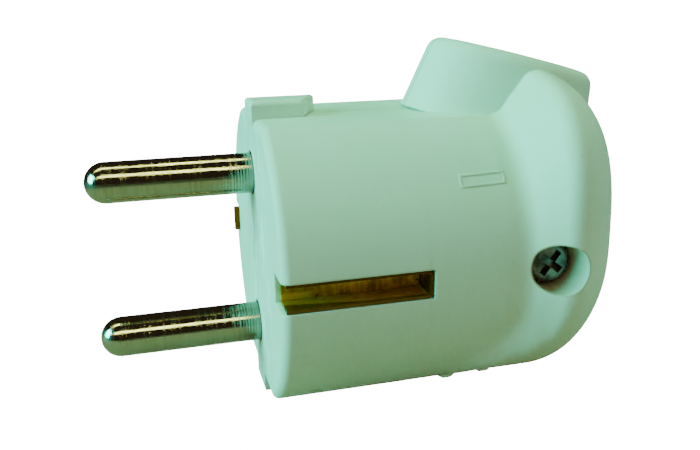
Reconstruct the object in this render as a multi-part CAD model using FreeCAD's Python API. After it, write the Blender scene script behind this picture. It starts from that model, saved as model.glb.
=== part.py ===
import FreeCAD, Part
import math
import os

# Angled two-pin mains plug with side earth contacts, in two moulded halves.
# Frame: the origin is the centre of the engagement face, midway between the pins. The pins point
# along -X, +Z runs along the line of the pins towards the cable outlet, and the halves part at y = 0.
# All sizes are in millimetres.

Vector = FreeCAD.Vector
X_AXIS = Vector(1, 0, 0)
Y_AXIS = Vector(0, 1, 0)
Z_AXIS = Vector(0, 0, 1)

# Engagement part of the housing
body_radius = 18.25
flat_height = 16.2
drum_length = 16.0
face_edge_radius = 1.0
face_wall = 3.2
wall = 2.2
key_width = 5.6
key_height = 1.9
key_near_length = 6.0
key_far_length = 8.4
key_edge_radius = 0.5

# Grip: the drum's skin flares out to a crest and then rounds off to the back
ramp_x = 27.2
ramp_length = 4.6
ramp_ease = 0.22
chin_reach = 8.5
chin_from_angle = 15.0
chin_to_angle = 45.0
grip_root = 4.0
grip_side_flare = 2.55
grip_top_flare = 3.05
grip_bottom_flare = -0.45
grip_back_length = 10.7
grip_back_z = 2.6
section_step = 10
drum_stations = 3
chin_stations = 5
ramp_stations = 6
back_stations = 7
back_station_step = 12
upper_squareness = 3.3
lower_squareness = 1.9
top_flat_length = 27.0
bottom_flat_length = 19.0

# Cable outlet, a short cone that leans back
outlet_x = 33.35
outlet_rise = 0.8
outlet_lean = 14.8
outlet_rim_half_length = 10.6
outlet_rim_half_width = 8.4
outlet_base_half_length = 12.4
outlet_base_half_width = 8.9
outlet_depth = 9.0
outlet_rim_round = 1.8
outlet_end_wall = 3.0
cable_bore_radius = 4.8
cable_bore_round = 0.8

# Contact pins
pin_radius = 2.4
pin_length = 19.0
pin_spacing = 19.0
pin_seat_radius = 2.6
pin_seat_depth = 0.05
pin_head_radius = 3.5
pin_head_length = 11.0
wire_hole_radius = 1.3
wire_hole_depth = 8.0
terminal_x = 9.7
terminal_screw_radius = 1.45
terminal_head_radius = 2.2
terminal_head_height = 1.8
terminal_head_lift = 0.9

# Earth bracket, a strip bent to a U
slot_width = 3.3
slot_end_x = 16.5
strip_thickness = 0.7
strip_width = 3.2
strip_outer_y = 14.8
tray_wall = 0.35
tray_outer_y = 17.9
tray_start = 0.5
tray_end_gap = 0.15
tray_corner = 0.7
near_leg_start = 0.5
far_leg_start = -0.7
bridge_x = 15.4
bend_pocket_lead = 0.5
bend_pocket_length = 2.2
slot_lip = 1.1
bridge_room = 4.4
trough_wall = 1.1
bend_radius = 1.3
earth_tab_radius = 3.6
earth_collar_radius = 2.5
earth_collar_length = 2.0
earth_screw_radius = 1.7
earth_head_radius = 3.0
earth_head_height = 2.0
earth_washer_side = 6.4
earth_washer_thickness = 1.0
earth_washer_corner = 0.5

# Housing screw and its nut
screw_x = 30.5
screw_z = 0.65
screw_radius = 1.5
screw_head_radius = 2.5
screw_head_height = 2.0
screw_head_round = 0.65
screw_seat_y = -15.2
screw_well_radius = 2.85
screw_boss_radius = 5.0
recess_length = 3.2
recess_width = 0.8
recess_turn = 38
recess_depth = 1.2
nut_flats = 5.5
nut_height = 2.4
nut_seat_y = 12.0

# Cord clamp
clamp_z = 11.2
clamp_front_x = 22.6
clamp_back_x = 36.4
clamp_bar_width = 5.0
clamp_bar_thickness = 2.0
clamp_bar_rise = 1.2
clamp_screw_radius = 1.3
clamp_head_radius = 2.4
clamp_head_height = 1.6
clamp_screw_grip = 7.0
clamp_boss_radius = 2.9

# Inner ribs that hold the pins
rib_thickness = 1.6
front_rib_x = 5.0
rear_rib_x = 12.0
stop_rib_thickness = 1.8
wire_way_radius = 2.0

# Clearances
pin_fit = 0.05
head_fit = 0.08
screw_fit = 0.1
strip_fit = 0.05
skin_step = 0.02
slot_head_width = 0.7
slot_head_depth = 0.8
slot_head_round = 0.4
reach = 60.0
over = 1.0
touch = 0.01

crest_x = ramp_x + ramp_length
grip_half_width = body_radius + grip_side_flare
grip_top_z = body_radius + grip_top_flare
grip_bottom_z = -body_radius - grip_bottom_flare
head_back_x = face_wall + pin_head_length
pin_heights = (pin_spacing / 2, -pin_spacing / 2)
lean = math.radians(outlet_lean)
outlet_axis = Vector(math.sin(lean), 0, math.cos(lean))
rim_centre = Vector(outlet_x, 0, grip_top_z + outlet_rise)
NEAR = -1
FAR = 1


def box(x0, x1, y0, y1, z0, z1):
    """Solid block between two corners."""
    corner = Vector(min(x0, x1), min(y0, y1), min(z0, z1))
    return Part.makeBox(abs(x1 - x0), abs(y1 - y0), abs(z1 - z0), corner)


def rod(radius, start, axis, length):
    """Solid cylinder from a start point along an axis."""
    return Part.makeCylinder(radius, length, start, axis)


def edges_where(shape, test):
    """Edges whose ends and middle all pass a test on their points."""
    picked = []
    for edge in shape.Edges:
        middle = edge.valueAt((edge.FirstParameter + edge.LastParameter) / 2)
        points = [vertex.Point for vertex in edge.Vertexes] + [middle]
        if all(test(point) for point in points):
            picked.append(edge)
    return picked


# Engagement part
def guide_key():
    """Rib on the upper flat whose back end runs askew."""
    half = key_width / 2
    outline = [(0, -half), (key_near_length, -half), (key_far_length, half), (0, half)]
    foot = flat_height - key_height
    points = [Vector(x, y, foot) for x, y in outline]
    key = Part.Face(Part.makePolygon(points + points[:1])).extrude(Z_AXIS * 2 * key_height)
    top = flat_height + key_height
    return key.makeFillet(key_edge_radius, edges_where(key, lambda p: abs(p.z - top) < touch))


# Skin of the housing, which leaves the drum's round and ends at the back
def crest_radius(degrees):
    """Distance of the grip's crest from the plug's axis, at an angle above the side."""
    angle = math.radians(degrees)
    rise = grip_top_z if degrees > 0 else -grip_bottom_z
    power = upper_squareness if degrees > 0 else lower_squareness
    across = abs(math.cos(angle)) / grip_half_width
    up = abs(math.sin(angle)) / rise
    return (across ** power + up ** power) ** (-1 / power)


def chin_share(degrees):
    """How far an angle lies on the chin, from none at the sides to all of it low down."""
    low = (-degrees - chin_from_angle) / (chin_to_angle - chin_from_angle)
    return min(max(low, 0), 1)


def ramp_share(way):
    """Height share along a straight ramp whose foot and top are eased."""
    way = min(max(way, 0), 1)
    from_end = min(way, 1 - way)
    if from_end > ramp_ease:
        return (way - ramp_ease / 2) / (1 - ramp_ease)
    eased = from_end ** 2 / (2 * ramp_ease * (1 - ramp_ease))
    return eased if way < 0.5 else 1 - eased


def skin_radius(x, degrees):
    """Distance of the skin from the plug's axis ahead of the crest."""
    start = ramp_x - chin_reach * chin_share(degrees) ** 2
    return body_radius + (crest_radius(degrees) - body_radius) * ramp_share((x - start) / ramp_length)


def skin_wire(x, shrink, inset):
    """Closed section of the skin, as a far and a near curve from bottom to top."""
    points = []
    for degrees in range(-90, 91, section_step):
        angle = math.radians(degrees)
        radius = skin_radius(min(x, crest_x), degrees) - inset
        rise = radius * math.sin(angle) - grip_back_z
        points.append((radius * math.cos(angle) * shrink, grip_back_z + rise * shrink))
    curves = []
    for side in (FAR, NEAR):
        curve = Part.BSplineCurve()
        curve.interpolate(
            Points=[Vector(x, side * y, z) for y, z in points],
            InitialTangent=Y_AXIS * side,
            FinalTangent=Y_AXIS * -side,
        )
        curves.append(curve.toShape())
    return Part.Wire(curves)


def skin(start_x, inset):
    """Lofted solid within the skin, moved in by an inset."""
    chin_x = ramp_x - chin_reach
    stations = [(start_x + (chin_x - start_x) * i / drum_stations, 1) for i in range(drum_stations)]
    stations += [(chin_x + chin_reach * i / chin_stations, 1) for i in range(chin_stations)]
    stations += [(ramp_x + ramp_length * i / ramp_stations, 1) for i in range(ramp_stations)]
    back = grip_back_length - inset
    for i in range(back_stations + 1):
        angle = math.radians(back_station_step * i)
        stations.append((crest_x + back * math.sin(angle), math.cos(angle)))
    return Part.makeLoft([skin_wire(x, shrink, inset) for x, shrink in stations], True, False)


def flat_cutters(inset):
    """Blocks that leave a flat above and below on the drum."""
    height = flat_height - inset
    upper = box(-over, top_flat_length + inset, -reach, reach, height, reach)
    lower = box(-over, bottom_flat_length + inset, -reach, reach, -reach, -height)
    return [upper, lower]


def engagement_part():
    """Drum that enters the socket: flats, rounded face edge and both guide keys."""
    drum = rod(body_radius, Vector(0, 0, 0), X_AXIS, drum_length).cut(flat_cutters(0))
    drum = drum.makeFillet(face_edge_radius, edges_where(drum, lambda p: abs(p.x) < touch))
    upper = guide_key()
    lower = upper.copy()
    lower.rotate(Vector(0, 0, 0), X_AXIS, 180)
    return drum.fuse([upper, lower])


def grip():
    """Flared part behind the drum, rooted inside it."""
    return skin(drum_length - grip_root, skin_step).cut(flat_cutters(skin_step))


# Cable outlet
def outlet_ring(depth, inset):
    """Oval section of the outlet at a depth below the rim plane, long way along the plug."""
    share = depth / outlet_depth
    length = outlet_rim_half_length + (outlet_base_half_length - outlet_rim_half_length) * share - inset
    width = outlet_rim_half_width + (outlet_base_half_width - outlet_rim_half_width) * share - inset
    centre = rim_centre - outlet_axis * depth
    along = centre + outlet_axis.cross(Y_AXIS) * -length
    oval = Part.Ellipse(along, centre + Y_AXIS * width, centre)
    return Part.Wire(oval.toShape())


def outlet_cone(inset, top_gap):
    """Leaning oval cone that ends a gap below the rim plane."""
    return Part.makeLoft([outlet_ring(outlet_depth + inset, inset), outlet_ring(top_gap, inset)], True, True)


def on_rim(point):
    """True for points in the rim plane."""
    return abs((point - rim_centre).dot(outlet_axis)) < touch


def outlet():
    """Outer cone of the cable outlet with its rounded rim."""
    cone = outlet_cone(0, 0)
    return cone.makeFillet(outlet_rim_round, edges_where(cone, on_rim))


def cable_bore():
    """Cutter for the cable's hole through the end wall, with a rounded mouth."""
    length = outlet_end_wall + wall
    bore = rod(cable_bore_radius, rim_centre - outlet_axis * length, outlet_axis, length)
    flare = Part.makeCone(
        cable_bore_radius, cable_bore_radius + cable_bore_round, cable_bore_round,
        rim_centre - outlet_axis * cable_bore_round, outlet_axis,
    )
    return bore.fuse(flare)


# Housing halves
def outer_form():
    """Whole outside of the housing as one solid."""
    return engagement_part().fuse(grip()).fuse(outlet()).removeSplitter()


def hollow():
    """Whole inside of the housing as one solid."""
    return skin(face_wall, wall).cut(flat_cutters(wall)).fuse(outlet_cone(wall, outlet_end_wall))


def rib(x, thickness):
    """Full cross wall; the housing's outside trims it."""
    return box(x, x + thickness, -reach, reach, -flat_height, flat_height)


def pin_ways(head_end):
    """Cutters for both pins' shanks and heads and for the conductors behind them."""
    cutters = []
    for z in pin_heights:
        cutters.append(rod(pin_seat_radius + pin_fit, Vector(-over, 0, z), X_AXIS, face_wall + 2 * over))
        cutters.append(rod(pin_head_radius + head_fit, Vector(face_wall, 0, z), X_AXIS, head_end - face_wall))
        cutters.append(rod(wire_way_radius, Vector(face_wall, 0, z), X_AXIS, head_end))
    return cutters


def earth_channel(side):
    """Trough wall that carries one leg of the earth bracket."""
    inner = strip_outer_y - strip_thickness - strip_fit - trough_wall
    half = slot_width / 2 + trough_wall
    return box(0, slot_end_x + trough_wall, side * inner, side * body_radius, -half, half)


def earth_ways(side):
    """Cutters for one slot, the window at its end and the bracket's bridge."""
    half = slot_width / 2
    floor_y = strip_outer_y - strip_thickness - strip_fit
    slot = box(-over, slot_end_x, side * floor_y, side * reach, -half, half)
    window = box(bridge_x - strip_fit, slot_end_x, 0, side * reach, -half, half)
    tab = earth_tab_radius + screw_fit
    middle = box(rear_rib_x - over, bridge_x + bridge_room, 0, side * tab, -tab, tab)
    lip_y = body_radius - slot_lip
    pocket_half = slot_width / 2 + trough_wall
    pocket_x = bridge_x - bend_pocket_lead
    pocket = box(pocket_x, pocket_x + bend_pocket_length, 0, side * lip_y, -pocket_half, pocket_half)
    return [slot, window, middle, pocket]


def screw_boss(side):
    """Tube round the housing screw, from the parting plane to the outside."""
    return rod(screw_boss_radius, Vector(screw_x, 0, screw_z), Y_AXIS * side, reach)


def shell_half(outside, inside, features, cutters, side):
    """One half: the walls and its inner features, trimmed to the outside and to its side."""
    kept = box(-reach, reach, 0, side * reach, -reach, reach)
    walls = outside.cut(inside)
    trimmed = features[0].fuse(features[1:]).common(outside)
    half = walls.fuse(trimmed).common(kept).cut(cutters)
    return half.removeSplitter()


def cover_half(outside, inside):
    """Near half, with the well of the housing screw."""
    features = [rib(front_rib_x, rib_thickness), rib(rear_rib_x, rib_thickness)]
    features += [earth_channel(NEAR), screw_boss(NEAR)]
    shank = rod(screw_radius + screw_fit, Vector(screw_x, 0, screw_z), -Y_AXIS, reach)
    well = rod(screw_well_radius, Vector(screw_x, screw_seat_y, screw_z), -Y_AXIS, reach)
    cutters = pin_ways(head_back_x + rib_thickness) + earth_ways(NEAR) + [shank, well, cable_bore()]
    return shell_half(outside, inside, features, cutters, NEAR)


def nut_prism(flats, y, length):
    """Hexagonal prism along +Y about the housing screw."""
    corner = flats / math.sqrt(3)
    points = []
    for i in range(7):
        angle = math.radians(60 * i)
        points.append(Vector(screw_x + corner * math.cos(angle), y, screw_z + corner * math.sin(angle)))
    return Part.Face(Part.makePolygon(points)).extrude(Y_AXIS * length)


def clamp_bosses():
    """Posts of the far half that the clamp bar's screws run into."""
    return [
        rod(clamp_boss_radius, Vector(x, 0, clamp_z), Y_AXIS, reach)
        for x in (clamp_front_x, clamp_back_x)
    ]


def clamp_screw_ways(radius, length):
    """Rods along +Y at both clamp screws, from the parting plane."""
    return [rod(radius, Vector(x, 0, clamp_z), Y_AXIS, length) for x in (clamp_front_x, clamp_back_x)]


def base_half(outside, inside):
    """Far half, with the nut's pocket, the stops behind the pins and the posts of the cord clamp."""
    stop_x = head_back_x + head_fit
    features = [rib(front_rib_x, rib_thickness), rib(rear_rib_x, rib_thickness)]
    features += [rib(stop_x, stop_rib_thickness), earth_channel(FAR), screw_boss(FAR)] + clamp_bosses()
    shank = rod(screw_radius + screw_fit, Vector(screw_x, 0, screw_z), Y_AXIS, reach)
    pocket = nut_prism(nut_flats + 2 * screw_fit, nut_seat_y, reach)
    cutters = pin_ways(stop_x) + earth_ways(FAR) + [shank, pocket, cable_bore()]
    cutters += clamp_screw_ways(clamp_screw_radius + screw_fit, clamp_screw_grip + screw_fit)
    return shell_half(outside, inside, features, cutters, FAR)


# Contacts
def contact_pin(z):
    """Turned pin: domed shank, seat in the wall, terminal head, conductor hole and tapped cross hole."""
    tip = -pin_length
    dome = Part.Arc(
        Vector(tip, 0, 0),
        Vector(tip + pin_radius * (1 - math.sqrt(0.5)), 0, pin_radius * math.sqrt(0.5)),
        Vector(tip + pin_radius, 0, pin_radius),
    ).toShape()
    corners = [
        Vector(tip + pin_radius, 0, pin_radius), Vector(pin_seat_depth, 0, pin_radius),
        Vector(pin_seat_depth, 0, pin_seat_radius), Vector(face_wall, 0, pin_seat_radius),
        Vector(face_wall, 0, pin_head_radius), Vector(head_back_x, 0, pin_head_radius),
        Vector(head_back_x, 0, 0), Vector(tip, 0, 0),
    ]
    outline = Part.Wire([dome] + Part.makePolygon(corners).Edges)
    pin = Part.Face(outline).revolve(Vector(0, 0, 0), X_AXIS, 360)
    wire_hole = rod(wire_hole_radius, Vector(head_back_x, 0, 0), -X_AXIS, wire_hole_depth)
    tapped = rod(terminal_screw_radius + screw_fit, Vector(terminal_x, 0, 0), -Y_AXIS, reach)
    pin = pin.cut([wire_hole, tapped])
    pin.translate(Z_AXIS * z)
    return pin


def slotted_screw(seat, axis, head_radius, head_height, shank_radius, shank_length):
    """Cheese-head screw; the axis points from the seat towards the head."""
    head = rod(head_radius, seat, axis, head_height)
    rim = seat + axis * head_height
    head = head.makeFillet(slot_head_round, edges_where(head, lambda p: (p - rim).dot(axis) > -touch))
    shank = rod(shank_radius, seat - axis * shank_length, axis, shank_length)
    groove = box(-slot_head_width / 2, slot_head_width / 2, -reach, reach, -slot_head_depth, reach)
    groove.Placement = FreeCAD.Placement(rim, FreeCAD.Rotation(Z_AXIS, axis))
    return head.fuse(shank).cut(groove).removeSplitter()


def terminal_screw(z):
    """Screw across a pin's head, its point at the conductor hole."""
    seat = Vector(terminal_x, -pin_head_radius - terminal_head_lift, z)
    length = pin_head_radius + terminal_head_lift - wire_hole_radius
    return slotted_screw(
        seat, -Y_AXIS, terminal_head_radius, terminal_head_height, terminal_screw_radius, length
    )


def at_corner(x, y):
    """Test for the upright edges at one x and at plus and minus one y."""
    return lambda point: abs(point.x - x) < touch and abs(abs(point.y) - y) < touch


def round_end(block, end_x, half, radius):
    """Block with the upright corners at one end rounded."""
    corners = edges_where(block, lambda p: abs(p.x - end_x) < touch and abs(abs(p.z) - half) < touch)
    return block.makeFillet(radius, corners)


def earth_leg(side):
    """Pressed tray of one side contact, open outwards and ahead, with a tongue that may stand out in front."""
    half = strip_width / 2
    room = half - tray_wall
    leg_start = near_leg_start if side == NEAR else far_leg_start
    leg_end = slot_end_x - tray_end_gap
    room_end = leg_end - tray_wall
    floor_y = strip_outer_y - strip_thickness
    tray = box(tray_start, leg_end, side * floor_y, side * tray_outer_y, -half, half)
    tray = round_end(tray, leg_end, half, tray_corner)
    inner = box(tray_start - over, room_end, side * strip_outer_y, side * reach, -room, room)
    inner = round_end(inner, room_end, room, tray_corner - tray_wall)
    tongue = box(leg_start, tray_start + over, side * floor_y, side * strip_outer_y, -half, half)
    return tray.cut(inner).fuse(tongue)


def earth_bracket():
    """Brass strip bent to a U: a tray in each slot, a bridge, its round tab and tapped collar."""
    half = strip_width / 2
    bridge_back = bridge_x + strip_thickness
    floor_y = strip_outer_y - strip_thickness
    neck = strip_width / 2 - strip_thickness
    outer = box(bridge_x - bend_radius, bridge_back, -strip_outer_y, strip_outer_y, -neck, neck)
    outer = outer.makeFillet(bend_radius, edges_where(outer, at_corner(bridge_back, strip_outer_y)))
    inner = box(0, bridge_x, -floor_y, floor_y, -half, half)
    inner = inner.makeFillet(bend_radius - strip_thickness, edges_where(inner, at_corner(bridge_x, floor_y)))
    tab = rod(earth_tab_radius, Vector(bridge_x, 0, 0), X_AXIS, strip_thickness)
    collar = rod(earth_collar_radius, Vector(bridge_x, 0, 0), -X_AXIS, earth_collar_length)
    hole = rod(earth_screw_radius + screw_fit, Vector(0, 0, 0), X_AXIS, reach)
    bent = outer.cut(inner).fuse([earth_leg(NEAR), earth_leg(FAR), tab, collar])
    return bent.cut(hole).removeSplitter()


def earth_washer():
    """Square clamp washer on the bridge."""
    start = bridge_x + strip_thickness
    half = earth_washer_side / 2
    plate = box(start, start + earth_washer_thickness, -half, half, -half, half)
    upright = edges_where(plate, lambda p: abs(abs(p.y) - half) < touch and abs(abs(p.z) - half) < touch)
    plate = plate.makeFillet(earth_washer_corner, upright)
    return plate.cut(rod(earth_screw_radius + screw_fit, Vector(0, 0, 0), X_AXIS, reach))


def earth_terminal_screw():
    """Screw through the washer into the bracket's collar."""
    seat = Vector(bridge_x + strip_thickness + earth_washer_thickness, 0, 0)
    length = earth_washer_thickness + strip_thickness + earth_collar_length
    return slotted_screw(seat, X_AXIS, earth_head_radius, earth_head_height, earth_screw_radius, length)


# Fasteners of the housing
def housing_screw():
    """Pan-head screw with a cross recess, from the well to the nut."""
    seat = Vector(screw_x, screw_seat_y, screw_z)
    top = seat - Y_AXIS * screw_head_height
    head = rod(screw_head_radius, seat, -Y_AXIS, screw_head_height)
    head = head.makeFillet(screw_head_round, edges_where(head, lambda p: p.y < top.y + touch))
    shank = rod(screw_radius, seat, Y_AXIS, nut_seat_y + nut_height - screw_seat_y)
    arm = recess_length / 2
    half = recess_width / 2
    recess = [
        box(screw_x - arm, screw_x + arm, top.y, top.y + recess_depth, screw_z - half, screw_z + half),
        box(screw_x - half, screw_x + half, top.y, top.y + recess_depth, screw_z - arm, screw_z + arm),
    ]
    for arms in recess:
        arms.rotate(seat, Y_AXIS, recess_turn)
    return head.fuse(shank).cut(recess).removeSplitter()


def housing_nut():
    """Hexagonal nut in the far half's pocket."""
    nut = nut_prism(nut_flats, nut_seat_y, nut_height)
    return nut.cut(rod(screw_radius + screw_fit / 2, Vector(screw_x, 0, screw_z), Y_AXIS, reach))


# Cord clamp
def cord_clamp_bar():
    """Bar across the cord, arched between its two screws."""
    half = clamp_bar_width / 2
    x0 = clamp_front_x
    x1 = clamp_back_x
    bar = box(x0, x1, -clamp_bar_thickness, 0, clamp_z - half, clamp_z + half)
    ends = [rod(half, Vector(x, 0, clamp_z), -Y_AXIS, clamp_bar_thickness) for x in (x0, x1)]
    span = x1 - x0 - 2 * clamp_boss_radius
    arch_radius = (span ** 2 / 4 + clamp_bar_rise ** 2) / (2 * clamp_bar_rise)
    middle = Vector((x0 + x1) / 2, arch_radius - clamp_bar_rise, clamp_z - half)
    under = rod(arch_radius, middle, Z_AXIS, clamp_bar_width)
    holes = [rod(clamp_screw_radius + screw_fit, Vector(x, 0, clamp_z), -Y_AXIS, reach) for x in (x0, x1)]
    return bar.fuse(ends).cut([under] + holes).removeSplitter()


def cord_clamp_screws():
    """Both screws of the clamp bar."""
    screws = []
    for x in (clamp_front_x, clamp_back_x):
        seat = Vector(x, -clamp_bar_thickness, clamp_z)
        length = clamp_bar_thickness + clamp_screw_grip
        screws.append(
            slotted_screw(seat, -Y_AXIS, clamp_head_radius, clamp_head_height, clamp_screw_radius, length)
        )
    return Part.makeCompound(screws)


def main():
    outside = outer_form()
    inside = hollow()
    upper, lower = pin_heights
    nodes = {
        "cover_half": cover_half(outside, inside),
        "base_half": base_half(outside, inside),
        "upper_pin": contact_pin(upper),
        "lower_pin": contact_pin(lower),
        "upper_terminal_screw": terminal_screw(upper),
        "lower_terminal_screw": terminal_screw(lower),
        "earth_bracket": earth_bracket(),
        "earth_washer": earth_washer(),
        "earth_terminal_screw": earth_terminal_screw(),
        "housing_screw": housing_screw(),
        "housing_nut": housing_nut(),
        "cord_clamp_bar": cord_clamp_bar(),
        "cord_clamp_screws": cord_clamp_screws(),
    }
    os.makedirs("parts", exist_ok=True)
    for name, shape in nodes.items():
        shape.exportStep(f"parts/{name}.step")
        print(name, len(shape.Solids), shape.isValid(), round(shape.Volume, 1))


main()
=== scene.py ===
import bpy
import math
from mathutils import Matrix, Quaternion, Vector


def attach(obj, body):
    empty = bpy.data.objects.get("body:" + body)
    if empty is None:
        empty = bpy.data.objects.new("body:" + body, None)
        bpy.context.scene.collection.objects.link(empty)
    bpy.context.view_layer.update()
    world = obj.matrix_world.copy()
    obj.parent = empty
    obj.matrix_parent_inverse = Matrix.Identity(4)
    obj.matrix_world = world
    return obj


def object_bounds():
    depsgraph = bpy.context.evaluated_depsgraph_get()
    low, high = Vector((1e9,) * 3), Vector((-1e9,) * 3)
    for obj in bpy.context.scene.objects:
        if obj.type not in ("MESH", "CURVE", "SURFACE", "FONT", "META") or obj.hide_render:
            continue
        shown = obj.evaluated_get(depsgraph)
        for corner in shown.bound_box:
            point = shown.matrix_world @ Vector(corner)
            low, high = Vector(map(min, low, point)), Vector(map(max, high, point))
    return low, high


# Angled mains plug: white moulded housing, nickel-plated pins, tarnished brass earth contacts.
# Metres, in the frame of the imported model: pins along -X, cable outlet towards +Z.
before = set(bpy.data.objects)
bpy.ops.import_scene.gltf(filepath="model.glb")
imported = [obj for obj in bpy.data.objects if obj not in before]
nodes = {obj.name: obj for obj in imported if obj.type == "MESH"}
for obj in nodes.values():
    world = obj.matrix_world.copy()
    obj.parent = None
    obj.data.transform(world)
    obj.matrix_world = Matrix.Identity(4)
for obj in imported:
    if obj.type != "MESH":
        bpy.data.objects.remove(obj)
cad_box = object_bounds()
MM = 0.001
RISE, FADE = (0.0, 1.0), (1.0, 0.0)


# Shader building
def fill(tree, node, inputs):
    """Sets a node's inputs to values, or links them to sockets."""
    for name, value in inputs.items():
        if isinstance(value, bpy.types.NodeSocket):
            tree.links.new(value, node.inputs[name])
        else:
            node.inputs[name].default_value = value


def add(tree, kind, inputs=None, **settings):
    """New node with its settings and inputs."""
    node = tree.nodes.new(kind)
    for name, value in settings.items():
        setattr(node, name, value)
    fill(tree, node, inputs or {})
    return node


def sums(tree, operation, first, second=0.0):
    """Output of a Math node."""
    return add(tree, "ShaderNodeMath", {0: first, 1: second}, operation=operation).outputs[0]


def times(tree, first, second):
    """Product of two values."""
    return sums(tree, "MULTIPLY", first, second)


def spread(tree, value, source, target=RISE, kind="SMOOTHSTEP"):
    """Value mapped from a source range to a target range."""
    inputs = {
        "Value": value,
        "From Min": source[0],
        "From Max": source[1],
        "To Min": target[0],
        "To Max": target[1],
    }
    return add(tree, "ShaderNodeMapRange", inputs, interpolation_type=kind).outputs["Result"]


def mix(tree, mask, first, second, kind="RGBA"):
    """Colour between two others, or a normal where the kind is a vector."""
    inputs = {"Factor": mask, "A": first, "B": second}
    return add(tree, "ShaderNodeMix", inputs, data_type=kind).outputs["Result"]


def band(tree, value, middle, half):
    """Soft mask that is full at a middle value and gone at half a width from it."""
    away = sums(tree, "ABSOLUTE", sums(tree, "SUBTRACT", value, middle))
    return spread(tree, away, (0.5 * half, half), FADE)


def radius(tree, first, second):
    """Distance from an axis, from the two coordinates across it."""
    squares = [sums(tree, "POWER", value, 2.0) for value in (first, second)]
    return sums(tree, "SQRT", sums(tree, "ADD", *squares))


def split(tree, place):
    """X, Y and Z of coordinates."""
    return add(tree, "ShaderNodeSeparateXYZ", {"Vector": place}).outputs


def drawn(tree, place, scale):
    """Coordinates whose pattern is drawn out along the axes of a small scale."""
    return add(tree, "ShaderNodeMapping", {"Vector": place, "Scale": scale}).outputs["Vector"]


def noise(tree, place, scale, detail, roughness=0.5):
    """Noise value over the surface."""
    inputs = {"Vector": place, "Scale": scale, "Detail": detail, "Roughness": roughness}
    return add(tree, "ShaderNodeTexNoise", inputs).outputs["Fac"]


def bump(tree, height, strength, distance, **below):
    """Normal of a Bump node, on top of another normal where one is given."""
    inputs = {"Height": height, "Strength": strength, "Distance": distance, **below}
    return add(tree, "ShaderNodeBump", inputs).outputs["Normal"]


def handling_group():
    """Wear that every surface has: broad clouds, small specks and fine hairlines."""
    group = bpy.data.node_groups.new("handling_wear", "ShaderNodeTree")
    for name, kind, way in (
        ("Vector", "NodeSocketVector", "INPUT"),
        ("Cloud Scale", "NodeSocketFloat", "INPUT"),
        ("Speck Scale", "NodeSocketFloat", "INPUT"),
        ("Clouds", "NodeSocketFloat", "OUTPUT"),
        ("Specks", "NodeSocketFloat", "OUTPUT"),
        ("Hairlines", "NodeSocketFloat", "OUTPUT"),
    ):
        group.interface.new_socket(name=name, in_out=way, socket_type=kind)
    start = group.nodes.new("NodeGroupInput").outputs
    end = group.nodes.new("NodeGroupOutput")
    clouds = noise(group, start["Vector"], start["Cloud Scale"], detail=4.0)
    specks = noise(group, start["Vector"], start["Speck Scale"], detail=2.0)
    along_x = drawn(group, start["Vector"], (0.05, 1.0, 1.0))
    lines = noise(group, along_x, start["Speck Scale"], detail=5.0, roughness=0.7)
    fill(group, end, {
        "Clouds": spread(group, clouds, (0.3, 0.7)),
        "Specks": spread(group, specks, (0.66, 0.74)),
        "Hairlines": spread(group, lines, (0.35, 0.65)),
    })
    return group


wear = handling_group()


def new_material(name):
    """Material with its node tree, its shader and its Object coordinates."""
    material = bpy.data.materials.new(name)
    material.use_nodes = True
    tree = material.node_tree
    place = add(tree, "ShaderNodeTexCoord").outputs["Object"]
    return material, tree, tree.nodes["Principled BSDF"], place


def place_wear(tree, place, cloud_scale, speck_scale):
    """The shared wear in one material."""
    inputs = {"Vector": place, "Cloud Scale": cloud_scale, "Speck Scale": speck_scale}
    return add(tree, "ShaderNodeGroup", inputs, node_tree=wear).outputs


# Housing
def well_shade_mask(tree, axes):
    """Mask of painted shade in the screw's well, thickest at its floor."""
    well_x, well_z, well_radius = 30.5 * MM, 0.65 * MM, 3.0 * MM
    mouth, floor = -22.6 * MM, -17.0 * MM
    along = sums(tree, "SUBTRACT", axes["X"], well_x)
    up = sums(tree, "SUBTRACT", axes["Z"], well_z)
    inside = sums(tree, "LESS_THAN", radius(tree, along, up), well_radius)
    return times(tree, inside, spread(tree, axes["Y"], (mouth, floor), (0.0, 0.9)))


def face_scuffs(tree, place, axes):
    """Mask of the pale scuffs along the middle of the engagement face."""
    up_the_face = drawn(tree, place, (1.0, 1.0, 0.35))
    mottle = noise(tree, up_the_face, scale=520.0, detail=5.0, roughness=0.65)
    patches = spread(tree, mottle, (0.5, 0.58))
    on_face = spread(tree, axes["X"], (0.02 * MM, 0.12 * MM), FADE)
    in_middle = band(tree, axes["Y"], middle=-3.0 * MM, half=10.0 * MM)
    return times(tree, times(tree, patches, on_face), in_middle)


def soft_edges(tree, axes):
    """Normal with slightly rounded edges, except where the drum runs on into the grip."""
    drum_end, clear_of_slot = 16.0 * MM, 3.0 * MM
    rounded = add(tree, "ShaderNodeBevel", {"Radius": 0.35 * MM}, samples=6).outputs["Normal"]
    plain = add(tree, "ShaderNodeNewGeometry").outputs["Normal"]
    off_slot = sums(tree, "GREATER_THAN", sums(tree, "ABSOLUTE", axes["Z"]), clear_of_slot)
    at_drum_end = band(tree, axes["X"], middle=drum_end, half=1.2 * MM)
    return mix(tree, times(tree, off_slot, at_drum_end), rounded, plain, kind="VECTOR")


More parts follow.
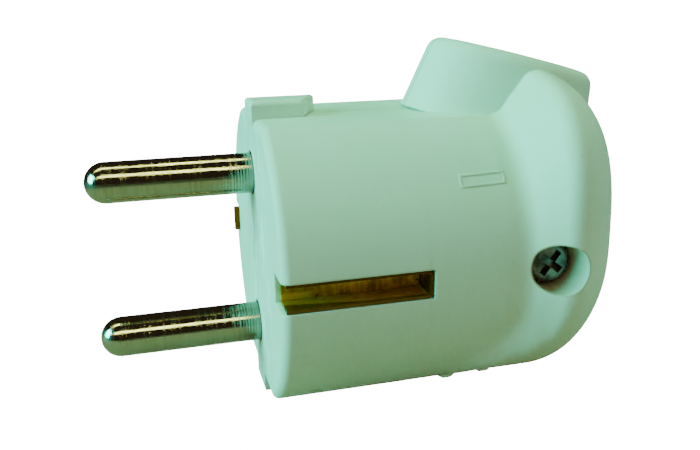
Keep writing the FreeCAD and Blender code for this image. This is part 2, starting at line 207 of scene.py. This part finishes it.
def moulded_white():
    """Housing: satin white plastic, a fine dark line where the halves meet, faint wear."""
    dull_white, clear_white = (0.60, 0.78, 0.64, 1), (0.64, 0.81, 0.68, 1)
    speck_grey, scuff_white = (0.40, 0.5, 0.40, 1), (0.9, 1.0, 0.95, 1)
    well_shade_brown, seam_grey = (0.5, 0.33, 0.2, 1), (0.2, 0.26, 0.2, 1)
    material, tree, shader, place = new_material("moulded_white")
    marks = place_wear(tree, place, cloud_scale=90.0, speck_scale=1500.0)
    axes = split(tree, place)
    seam = spread(tree, sums(tree, "ABSOLUTE", axes["Y"]), (0.03 * MM, 0.13 * MM), FADE)
    scuffs = face_scuffs(tree, place, axes)

    colour = mix(tree, marks["Clouds"], dull_white, clear_white)
    colour = mix(tree, times(tree, marks["Specks"], 0.12), colour, speck_grey)
    colour = mix(tree, times(tree, scuffs, 0.85), colour, scuff_white)
    # Painted shade in the screw's well, brownish and deepest at its floor.
    colour = mix(tree, well_shade_mask(tree, axes), colour, well_shade_brown)
    colour = mix(tree, times(tree, seam, 0.55), colour, seam_grey)

    grain = noise(tree, place, scale=2600.0, detail=2.0)
    orange_peel = noise(tree, place, scale=420.0, detail=1.0)
    height = sums(tree, "ADD", times(tree, grain, 0.25), orange_peel)
    height = sums(tree, "SUBTRACT", height, times(tree, seam, 3.0))
    height = sums(tree, "ADD", height, times(tree, scuffs, 4.0))
    edges = soft_edges(tree, axes)
    fill(tree, shader, {
        "Base Color": colour,
        "Specular IOR Level": 0.35,
        "Roughness": spread(tree, marks["Clouds"], RISE, (0.46, 0.54)),
        "Normal": bump(tree, height, strength=0.12, distance=0.05 * MM, Normal=edges),
    })
    return material


# Metals
def nickel_plate():
    """Pins: bright plate over turned brass, rings near the face, hairlines, yellowed wear."""
    bright_nickel, yellowed = (0.54, 0.46, 0.37, 1), (0.44, 0.34, 0.2, 1)
    face_shade_colour = (0.27, 0.19, 0.15, 1)
    material, tree, shader, place = new_material("nickel_plate")
    marks = place_wear(tree, place, cloud_scale=260.0, speck_scale=2400.0)
    axes = split(tree, place)
    around = drawn(tree, place, (1.0, 0.04, 0.04))
    turned = noise(tree, around, scale=2800.0, detail=4.0, roughness=0.7)
    turned = spread(tree, turned, (0.36, 0.74))

    colour = mix(tree, times(tree, marks["Clouds"], turned), bright_nickel, yellowed)
    # Painted shade: the pin darkens over its last few millimetres before the face.
    near_face_shade = spread(tree, axes["X"], (-3.4 * MM, -0.8 * MM), (0.0, 0.7))
    colour = mix(tree, near_face_shade, colour, face_shade_colour)

    inputs = {"Vector": place, "Scale": 900.0, "Distortion": 0.4}
    rings = add(tree, "ShaderNodeTexWave", inputs, wave_type="BANDS", bands_direction="X")
    deeper = spread(tree, axes["X"], (-6.0 * MM, 0.0), (0.15, 1.0))
    height = sums(tree, "ADD", times(tree, rings.outputs["Fac"], deeper), marks["Hairlines"])
    height = sums(tree, "ADD", height, times(tree, turned, 1.2))
    fill(tree, shader, {
        "Base Color": colour,
        "Metallic": 1.0,
        "Roughness": spread(tree, turned, RISE, (0.06, 0.25)),
        "Normal": bump(tree, height, strength=0.22, distance=0.02 * MM),
    })
    return material


def tarnished_brass():
    """Earth contacts: dark gold trays with painted shade on the lower and rear walls and a
    painted highlight low at the front.
    """
    dark_gold, gold = (0.38, 0.2, 0.01, 1), (0.8, 0.56, 0.06, 1)
    highlight_gold, deep_shade_brown = (0.95, 0.75, 0.16, 1), (0.07, 0.018, 0.0, 1)
    dark_tarnish_shade, tarnish_shade = (0.4, 0.11, 0.0, 1), (0.66, 0.22, 0.0, 1)
    rim_brown, end_red = (0.17, 0.06, 0.0, 1), (0.4, 0.06, 0.0, 1)
    speck_brown = (0.12, 0.06, 0.01, 1)
    material, tree, shader, place = new_material("tarnished_brass")
    marks = place_wear(tree, place, cloud_scale=420.0, speck_scale=1800.0)
    axes = split(tree, place)
    depth = sums(tree, "ABSOLUTE", axes["Y"])

    # Streaks across the floor, and a painted highlight low down at its front
    across = drawn(tree, place, (1.0, 1.0, 0.07))
    streaks = noise(tree, across, scale=1500.0, detail=4.0, roughness=0.65)
    streaks = spread(tree, streaks, (0.3, 0.7))
    bright = times(tree, sums(tree, "ADD", streaks, marks["Clouds"]), 0.5)
    at_front = spread(tree, axes["X"], (3.0 * MM, 4.5 * MM), FADE)
    painted_highlight = times(tree, at_front, band(tree, axes["Z"], middle=-1.0 * MM, half=0.7 * MM))
    colour = mix(tree, bright, dark_gold, gold)
    colour = mix(tree, times(tree, painted_highlight, 0.8), colour, highlight_gold)

    # Painted shade: the lower wall is tinted as oxide and darker, and near black outwards of a
    # slanting line and on the rear wall
    lower_wall = spread(tree, axes["Z"], (-1.24 * MM, -1.2 * MM), FADE)
    colour = mix(tree, lower_wall, colour, mix(tree, bright, dark_tarnish_shade, tarnish_shade))
    line = spread(tree, axes["X"], (0.5 * MM, 9.0 * MM), (16.0 * MM, 17.3 * MM), "LINEAR")
    past_line = spread(tree, sums(tree, "SUBTRACT", depth, line), (-0.2 * MM, 0.2 * MM))
    rear_wall = spread(tree, axes["X"], (15.8 * MM, 16.0 * MM))
    painted_shade_mask = sums(tree, "MAXIMUM", times(tree, lower_wall, past_line), rear_wall)
    colour = mix(tree, times(tree, painted_shade_mask, 0.85), colour, deep_shade_brown)

    rim = spread(tree, depth, (17.4 * MM, 17.8 * MM))
    front_end = spread(tree, axes["X"], (0.0, 0.45 * MM), FADE)
    colour = mix(tree, rim, colour, rim_brown)
    colour = mix(tree, front_end, colour, end_red)
    colour = mix(tree, times(tree, marks["Specks"], 0.5), colour, speck_brown)
    fill(tree, shader, {
        "Base Color": colour,
        "Metallic": spread(tree, lower_wall, RISE, (0.9, 0.25)),
        "Roughness": spread(tree, marks["Clouds"], RISE, (0.5, 0.3)),
        "Normal": bump(tree, marks["Hairlines"], strength=0.2, distance=0.02 * MM),
    })
    return material


def dull_zinc(name, dark, light):
    """Screws and nut: zinc plate gone dull, darker in patches."""
    material, tree, shader, place = new_material(name)
    marks = place_wear(tree, place, cloud_scale=500.0, speck_scale=3000.0)
    fill(tree, shader, {
        "Base Color": mix(tree, marks["Clouds"], dark, light),
        "Metallic": 1.0,
        "Roughness": spread(tree, marks["Clouds"], RISE, (0.5, 0.28)),
        "Normal": bump(tree, marks["Specks"], strength=0.15, distance=0.02 * MM),
    })
    return material


# Pieces of moulded trim
def round_edges(piece, width, segments):
    """Adds a Bevel modifier named edge."""
    edge = piece.modifiers.new("edge", "BEVEL")
    edge.width = width
    edge.segments = segments


def finish_trim(piece, material):
    """Applies a piece's modifiers in their order, shades it and gives it its material."""
    for name in [modifier.name for modifier in piece.modifiers]:
        bpy.ops.object.modifier_apply(modifier=name)
    bpy.ops.object.shade_smooth_by_angle(angle=math.radians(40))
    piece.data.materials.append(material)


def raised_frame(material):
    """Plain raised rectangle on the near side, laid on the skin and standing a little proud."""
    centre = (22.92 * MM, -24 * MM, 10.3 * MM)
    turn = (math.radians(90), math.radians(-1.4), 0)
    length, height, line_width, proud = 5.35 * MM, 1.36 * MM, 0.3 * MM, 0.06 * MM
    bpy.ops.object.select_all(action="DESELECT")
    bpy.ops.mesh.primitive_plane_add(size=1.0, location=centre, rotation=turn)
    piece = bpy.context.object
    piece.name = "raised_frame"
    piece.scale = (length, height, 1.0)
    bpy.ops.object.transform_apply(location=True, rotation=True, scale=True)
    bpy.ops.object.mode_set(mode="EDIT")
    bpy.ops.mesh.select_all(action="SELECT")
    bpy.ops.mesh.inset(thickness=line_width)
    bpy.ops.mesh.delete(type="FACE")
    bpy.ops.mesh.select_all(action="SELECT")
    bpy.ops.mesh.subdivide(number_cuts=3)
    bpy.ops.object.mode_set(mode="OBJECT")
    lay = piece.modifiers.new("lay", "SHRINKWRAP")
    lay.target = nodes["cover_half"]
    lay.wrap_method = "PROJECT"
    lay.use_project_y = True
    wall = piece.modifiers.new("wall", "SOLIDIFY")
    wall.thickness = 2 * proud
    wall.offset = 0.0
    round_edges(piece, width=0.04 * MM, segments=2)
    finish_trim(piece, material)
    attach(piece, "root")


def flash_nibs(material):
    """Two small wedges of moulding flash on the lower near edge, sunk into the wall."""
    place, turn = (21.55 * MM, -9.42 * MM, -15.48 * MM), (math.radians(-31.3), 0, 0)
    size, outer_end = (3.5 * MM, 1.6 * MM, 1.0 * MM), (0.25, 0.6, 0.6)
    to_rear = (4.9 * MM, 0.09 * MM, 0.14 * MM)
    bpy.ops.object.select_all(action="DESELECT")
    bpy.ops.mesh.primitive_cube_add(size=1.0, location=place, rotation=turn)
    front = bpy.context.object
    front.name = "front_nib"
    front.scale = size
    bpy.ops.object.mode_set(mode="EDIT")
    bpy.ops.mesh.select_all(action="DESELECT")
    bpy.ops.object.mode_set(mode="OBJECT")
    for face in front.data.polygons:
        face.select = face.normal.z < -0.5
    bpy.ops.object.mode_set(mode="EDIT")
    bpy.ops.transform.resize(value=outer_end)
    bpy.ops.object.mode_set(mode="OBJECT")
    bpy.ops.object.transform_apply(location=True, rotation=True, scale=True)
    round_edges(front, width=0.1 * MM, segments=3)
    finish_trim(front, material)
    bpy.ops.object.duplicate()
    rear = bpy.context.object
    rear.name = "rear_nib"
    bpy.ops.transform.translate(value=to_rear)
    bpy.ops.object.transform_apply(location=True, rotation=True, scale=True)
    for nib in (front, rear):
        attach(nib, "root")


def dress(names, material):
    """Gives CAD nodes a material."""
    for name in names:
        mesh = nodes[name].data
        mesh.materials.clear()
        mesh.materials.append(material)


housing_white = moulded_white()
screw_zinc = dull_zinc("dull_zinc", dark=(0.06, 0.045, 0.045, 1), light=(0.34, 0.26, 0.26, 1))
inner_zinc = dull_zinc("inner_zinc", dark=(0.45, 0.45, 0.42, 1), light=(0.62, 0.62, 0.58, 1))
dress(["cover_half", "base_half", "cord_clamp_bar"], housing_white)
dress(["upper_pin", "lower_pin"], nickel_plate())
dress(["earth_bracket"], tarnished_brass())
dress(["housing_screw", "housing_nut"], screw_zinc)
dress(["upper_terminal_screw", "lower_terminal_screw", "cord_clamp_screws"], inner_zinc)
dress(["earth_terminal_screw", "earth_washer"], inner_zinc)
raised_frame(housing_white)
flash_nibs(housing_white)


# Studio
PAPER_GLOW = 18.0


def pale_floor():
    """Floor that is white to the camera, and mirrored as warm paper that darkens outwards."""
    near_paper, far_paper = (0.46, 0.25, 0.16, 1), (0.05, 0.03, 0.02, 1)
    bpy.ops.object.select_all(action="DESELECT")
    bpy.ops.mesh.primitive_plane_add(size=3.0, location=(0, 0, cad_box[0].z - 0.2 * MM))
    floor = bpy.context.object
    floor.name = "pale_floor"
    paint, tree, shader, place = new_material("pale_floor")
    axes = split(tree, place)
    away = spread(tree, radius(tree, axes["X"], axes["Y"]), (0.05, 0.16))
    fill(tree, shader, {"Base Color": mix(tree, away, near_paper, far_paper), "Roughness": 0.9})
    glow = add(tree, "ShaderNodeEmission", {"Color": (1, 1, 1, 1), "Strength": PAPER_GLOW})
    seen = add(tree, "ShaderNodeLightPath").outputs["Is Camera Ray"]
    inputs = {0: seen, 1: shader.outputs["BSDF"], 2: glow.outputs["Emission"]}
    paper = add(tree, "ShaderNodeMixShader", inputs).outputs["Shader"]
    fill(tree, tree.nodes["Material Output"], {"Surface": paper})
    floor.data.materials.append(paint)


def surroundings():
    """Soft light all round, mirrored as a dark room with two long light boxes."""
    room_light, dark_room = (0.44, 0.48, 0.3, 1), (0.03, 0.024, 0.014, 1)
    box_light, backdrop = (15.0, 19.0, 6.0, 1), (PAPER_GLOW, PAPER_GLOW, PAPER_GLOW, 1)
    world = bpy.data.worlds.new("studio")
    world.use_nodes = True
    tree = world.node_tree
    axes = split(tree, add(tree, "ShaderNodeTexCoord").outputs["Generated"])
    height = sums(tree, "ARCTAN2", axes["Z"], times(tree, axes["Y"], -1.0))
    overhead = band(tree, height, middle=math.radians(97), half=math.radians(3.0))
    forward = band(tree, height, middle=math.radians(46), half=math.radians(4.4))
    boxes = sums(tree, "MAXIMUM", overhead, times(tree, forward, 0.8))
    boxes = times(tree, boxes, band(tree, axes["X"], middle=0.0, half=0.8))
    path = add(tree, "ShaderNodeLightPath").outputs
    mirrored = mix(tree, boxes, dark_room, box_light)
    light = mix(tree, path["Is Glossy Ray"], room_light, mirrored)
    shown = mix(tree, path["Is Camera Ray"], light, backdrop)
    fill(tree, tree.nodes["Background"], {"Color": shown})
    bpy.context.scene.world = world


def lamps():
    """Three soft square lamps aimed at the plug. Only the left one shows in its gloss."""
    target = (cad_box[0] + cad_box[1]) / 2
    for name, spot, power, colour in (
        ("left", Vector((-0.57, -0.01, 0.19)), 7.4, (0.03, 1.0, 0.9)),
        ("top", Vector((-0.15, 0.08, 0.58)), 3.0, (0.1, 1.0, 0.45)),
        ("fill", Vector((0.57, -0.08, 0.2)), 1.4, (0.2, 1.0, 0.75)),
    ):
        light = bpy.data.lights.new(name, "AREA")
        light.size = 0.3
        light.energy = power
        light.color = colour
        lamp = bpy.data.objects.new(name, light)
        lamp.location = spot
        lamp.visible_glossy = name == "left"
        lamp.rotation_euler = (target - spot).to_track_quat("-Z", "Y").to_euler()
        bpy.context.scene.collection.objects.link(lamp)


def photo_camera():
    """Camera at the photograph's viewing angle."""
    lens = bpy.data.cameras.new("photo_camera")
    lens.lens = 39.902
    lens.sensor_width = 36.0
    lens.clip_start = 0.001
    camera = bpy.data.objects.new("photo_camera", lens)
    camera.location = (-12.153 * MM, -90.203 * MM, 29.531 * MM)
    camera.rotation_mode = "QUATERNION"
    camera.rotation_quaternion = Quaternion((0.793554, 0.593792, -0.07393, -0.110538))
    bpy.context.scene.collection.objects.link(camera)
    bpy.context.scene.camera = camera


pale_floor()
surroundings()
lamps()
photo_camera()
